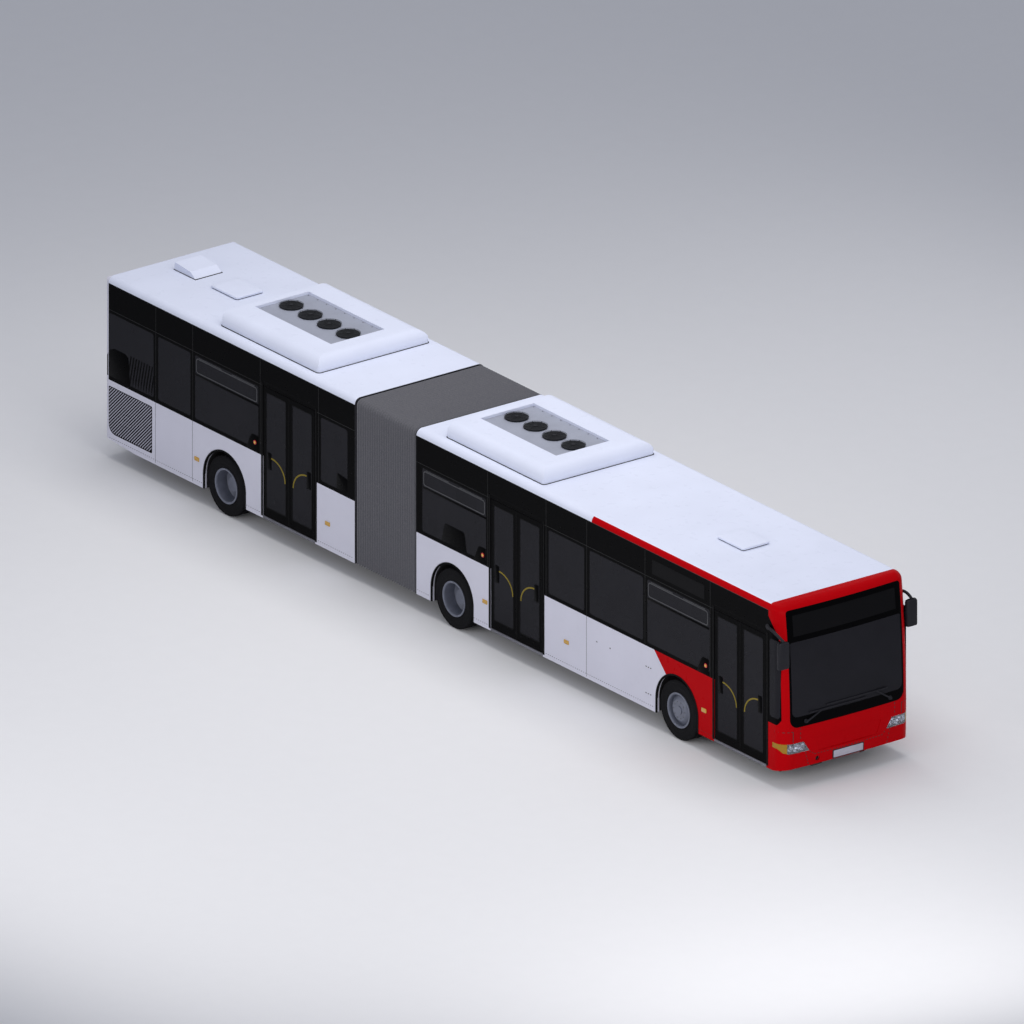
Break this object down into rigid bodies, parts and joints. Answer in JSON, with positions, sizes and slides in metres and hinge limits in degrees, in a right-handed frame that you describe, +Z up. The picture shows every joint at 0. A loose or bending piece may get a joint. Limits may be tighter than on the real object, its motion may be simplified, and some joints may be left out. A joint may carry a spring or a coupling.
{
  "type": "articulated bus",
  "caption": "Low-floor articulated city bus with a bellows joint, inward-swinging double doors, steered front wheels, twin middle and rear wheels and roof air conditioners.",
  "frame": {"origin": "on the ground, under the middle of the whole bus including the mirrors", "axes": "+X towards the nose, +Y to the left side (away from the doors), +Z up"},
  "size_m": [18.12, 2.99, 3.33],
  "materials": {
    "body_paint": "gloss white and red paint with a black glass band",
    "roof_paint": "gloss white",
    "mask_paint": "gloss red",
    "glass": "dark tinted",
    "lamp_glass": "clear with an amber end",
    "lamp_red": "clear red",
    "black_plastic": "grained",
    "cab_trim": "grained",
    "seat_fabric": "woven plush",
    "yellow_rail": "gloss powder coat",
    "chassis_steel": "satin underseal",
    "bellows_fabric": "coated folded cloth",
    "engine_iron": "rough",
    "tyre_rubber": "matt",
    "wheel_steel": "satin",
    "door_frame": "satin black",
    "post_steel": "satin"
  },
  "bodies": {
    "front_section": {"front_floor": "chassis_steel", "front_right_wall": "body_paint", "front_left_wall": "body_paint", "front_roof": "roof_paint", "front_mask": "mask_paint", "windscreen": "glass", "front_windows": "glass", "headlamps": "lamp_glass", "mirrors": "black_plastic", "wipers": "black_plastic", "driver_cab": "cab_trim", "front_seats": "seat_fabric", "front_handrails": "yellow_rail", "front_air_conditioner": "roof_paint", "front_roof_hatch": "roof_paint", "front_axle": "chassis_steel", "middle_axle": "chassis_steel", "turntable": "chassis_steel", "bellows": "bellows_fabric"},
    "rear_section": {"rear_floor": "chassis_steel", "rear_right_wall": "body_paint", "rear_left_wall": "body_paint", "rear_roof": "roof_paint", "tail_panel": "body_paint", "rear_windows": "glass", "tail_lamps": "lamp_red", "rear_seats": "seat_fabric", "rear_handrails": "yellow_rail", "rear_air_conditioner": "roof_paint", "rear_roof_hatch": "roof_paint", "roof_vent_cowl": "roof_paint", "engine": "engine_iron", "rear_axle": "chassis_steel"},
    "engine_lid": {"engine_lid": "body_paint"},
    "left_knuckle": {"left_knuckle": "chassis_steel"},
    "right_knuckle": {"right_knuckle": "chassis_steel"},
    "front_left_wheel": {"front_left_tyre": "tyre_rubber", "front_left_rim": "wheel_steel"},
    "front_right_wheel": {"front_right_tyre": "tyre_rubber", "front_right_rim": "wheel_steel"},
    "middle_left_wheel": {"middle_left_tyre": "tyre_rubber", "middle_left_rim": "wheel_steel"},
    "middle_right_wheel": {"middle_right_tyre": "tyre_rubber", "middle_right_rim": "wheel_steel"},
    "rear_left_wheel": {"rear_left_tyre": "tyre_rubber", "rear_left_rim": "wheel_steel"},
    "rear_right_wheel": {"rear_right_tyre": "tyre_rubber", "rear_right_rim": "wheel_steel"},
    "front_door_aft_post": {"front_door_aft_post": "post_steel"},
    "front_door_aft_leaf": {"front_door_aft_leaf": "door_frame"},
    "front_door_fore_post": {"front_door_fore_post": "post_steel"},
    "front_door_fore_leaf": {"front_door_fore_leaf": "door_frame"},
    "middle_door_aft_post": {"middle_door_aft_post": "post_steel"},
    "middle_door_aft_leaf": {"middle_door_aft_leaf": "door_frame"},
    "middle_door_fore_post": {"middle_door_fore_post": "post_steel"},
    "middle_door_fore_leaf": {"middle_door_fore_leaf": "door_frame"},
    "rear_door_aft_post": {"rear_door_aft_post": "post_steel"},
    "rear_door_aft_leaf": {"rear_door_aft_leaf": "door_frame"},
    "rear_door_fore_post": {"rear_door_fore_post": "post_steel"},
    "rear_door_fore_leaf": {"rear_door_fore_leaf": "door_frame"}
  },
  "joints": [
    {"name": "articulation", "type": "hinge", "parent": "front_section", "child": "rear_section", "pos_m": [-1.635, 0, 0.26], "axis": [0, 0, 1], "range_deg": [-50, 50], "deforming": ["bellows"]},
    {"name": "engine_lid_hinge", "type": "hinge", "parent": "rear_section", "child": "engine_lid", "pos_m": [-9.046, 0, 1.312], "axis": [0, 1, 0], "range_deg": [0, 85]},
    {"name": "left_steering", "type": "hinge", "parent": "front_section", "child": "left_knuckle", "pos_m": [6.055, 1.005, 0.5], "axis": [0, 0, 1], "range_deg": [-45, 45]},
    {"name": "right_steering", "type": "hinge", "parent": "front_section", "child": "right_knuckle", "pos_m": [6.055, -1.005, 0.5], "axis": [0, 0, 1], "range_deg": [-45, 45]},
    {"name": "front_left_wheel_spin", "type": "hinge", "parent": "left_knuckle", "child": "front_left_wheel", "pos_m": [6.055, 1.105, 0.5], "axis": [0, 1, 0], "continuous": true},
    {"name": "front_right_wheel_spin", "type": "hinge", "parent": "right_knuckle", "child": "front_right_wheel", "pos_m": [6.055, -1.105, 0.5], "axis": [0, 1, 0], "continuous": true},
    {"name": "middle_left_wheel_spin", "type": "hinge", "parent": "front_section", "child": "middle_left_wheel", "pos_m": [0.125, 0.945, 0.5], "axis": [0, 1, 0], "continuous": true},
    {"name": "middle_right_wheel_spin", "type": "hinge", "parent": "front_section", "child": "middle_right_wheel", "pos_m": [0.125, -0.945, 0.5], "axis": [0, 1, 0], "continuous": true},
    {"name": "rear_left_wheel_spin", "type": "hinge", "parent": "rear_section", "child": "rear_left_wheel", "pos_m": [-5.88, 0.945, 0.5], "axis": [0, 1, 0], "continuous": true},
    {"name": "rear_right_wheel_spin", "type": "hinge", "parent": "rear_section", "child": "rear_right_wheel", "pos_m": [-5.88, -0.945, 0.5], "axis": [0, 1, 0], "continuous": true},
    {"name": "front_door_aft_post_swing", "type": "hinge", "parent": "front_section", "child": "front_door_aft_post", "pos_m": [7.011, -1.193, 0.35], "axis": [0, 0, 1], "range_deg": [0, 80]},
    {"name": "front_door_aft_leaf_pivot", "type": "hinge", "parent": "front_door_aft_post", "child": "front_door_aft_leaf", "pos_m": [7.336, -1.193, 0.35], "axis": [0, 0, 1], "range_deg": [-160, 0]},
    {"name": "front_door_fore_post_swing", "type": "hinge", "parent": "front_section", "child": "front_door_fore_post", "pos_m": [8.439, -1.193, 0.35], "axis": [0, 0, -1], "range_deg": [0, 80]},
    {"name": "front_door_fore_leaf_pivot", "type": "hinge", "parent": "front_door_fore_post", "child": "front_door_fore_leaf", "pos_m": [8.114, -1.193, 0.35], "axis": [0, 0, -1], "range_deg": [-160, 0]},
    {"name": "middle_door_aft_post_swing", "type": "hinge", "parent": "front_section", "child": "middle_door_aft_post", "pos_m": [1.111, -1.193, 0.35], "axis": [0, 0, 1], "range_deg": [0, 80]},
    {"name": "middle_door_aft_leaf_pivot", "type": "hinge", "parent": "middle_door_aft_post", "child": "middle_door_aft_leaf", "pos_m": [1.436, -1.193, 0.35], "axis": [0, 0, 1], "range_deg": [-160, 0]},
    {"name": "middle_door_fore_post_swing", "type": "hinge", "parent": "front_section", "child": "middle_door_fore_post", "pos_m": [2.539, -1.193, 0.35], "axis": [0, 0, -1], "range_deg": [0, 80]},
    {"name": "middle_door_fore_leaf_pivot", "type": "hinge", "parent": "middle_door_fore_post", "child": "middle_door_fore_leaf", "pos_m": [2.214, -1.193, 0.35], "axis": [0, 0, -1], "range_deg": [-160, 0]},
    {"name": "rear_door_aft_post_swing", "type": "hinge", "parent": "rear_section", "child": "rear_door_aft_post", "pos_m": [-4.894, -1.193, 0.35], "axis": [0, 0, 1], "range_deg": [0, 80]},
    {"name": "rear_door_aft_leaf_pivot", "type": "hinge", "parent": "rear_door_aft_post", "child": "rear_door_aft_leaf", "pos_m": [-4.569, -1.193, 0.35], "axis": [0, 0, 1], "range_deg": [-160, 0]},
    {"name": "rear_door_fore_post_swing", "type": "hinge", "parent": "rear_section", "child": "rear_door_fore_post", "pos_m": [-3.466, -1.193, 0.35], "axis": [0, 0, -1], "range_deg": [0, 80]},
    {"name": "rear_door_fore_leaf_pivot", "type": "hinge", "parent": "rear_door_fore_post", "child": "rear_door_fore_leaf", "pos_m": [-3.791, -1.193, 0.35], "axis": [0, 0, -1], "range_deg": [-160, 0]}
  ],
  "couplings": [
    {"joint": "right_steering", "follows": "left_steering", "ratio": 1},
    {"joint": "front_door_aft_leaf_pivot", "follows": "front_door_aft_post_swing", "ratio": -2},
    {"joint": "front_door_fore_post_swing", "follows": "front_door_aft_post_swing", "ratio": 1},
    {"joint": "front_door_fore_leaf_pivot", "follows": "front_door_aft_post_swing", "ratio": -2},
    {"joint": "middle_door_aft_leaf_pivot", "follows": "middle_door_aft_post_swing", "ratio": -2},
    {"joint": "middle_door_fore_post_swing", "follows": "middle_door_aft_post_swing", "ratio": 1},
    {"joint": "middle_door_fore_leaf_pivot", "follows": "middle_door_aft_post_swing", "ratio": -2},
    {"joint": "rear_door_aft_leaf_pivot", "follows": "rear_door_aft_post_swing", "ratio": -2},
    {"joint": "rear_door_fore_post_swing", "follows": "rear_door_aft_post_swing", "ratio": 1},
    {"joint": "rear_door_fore_leaf_pivot", "follows": "rear_door_aft_post_swing", "ratio": -2}
  ]
}
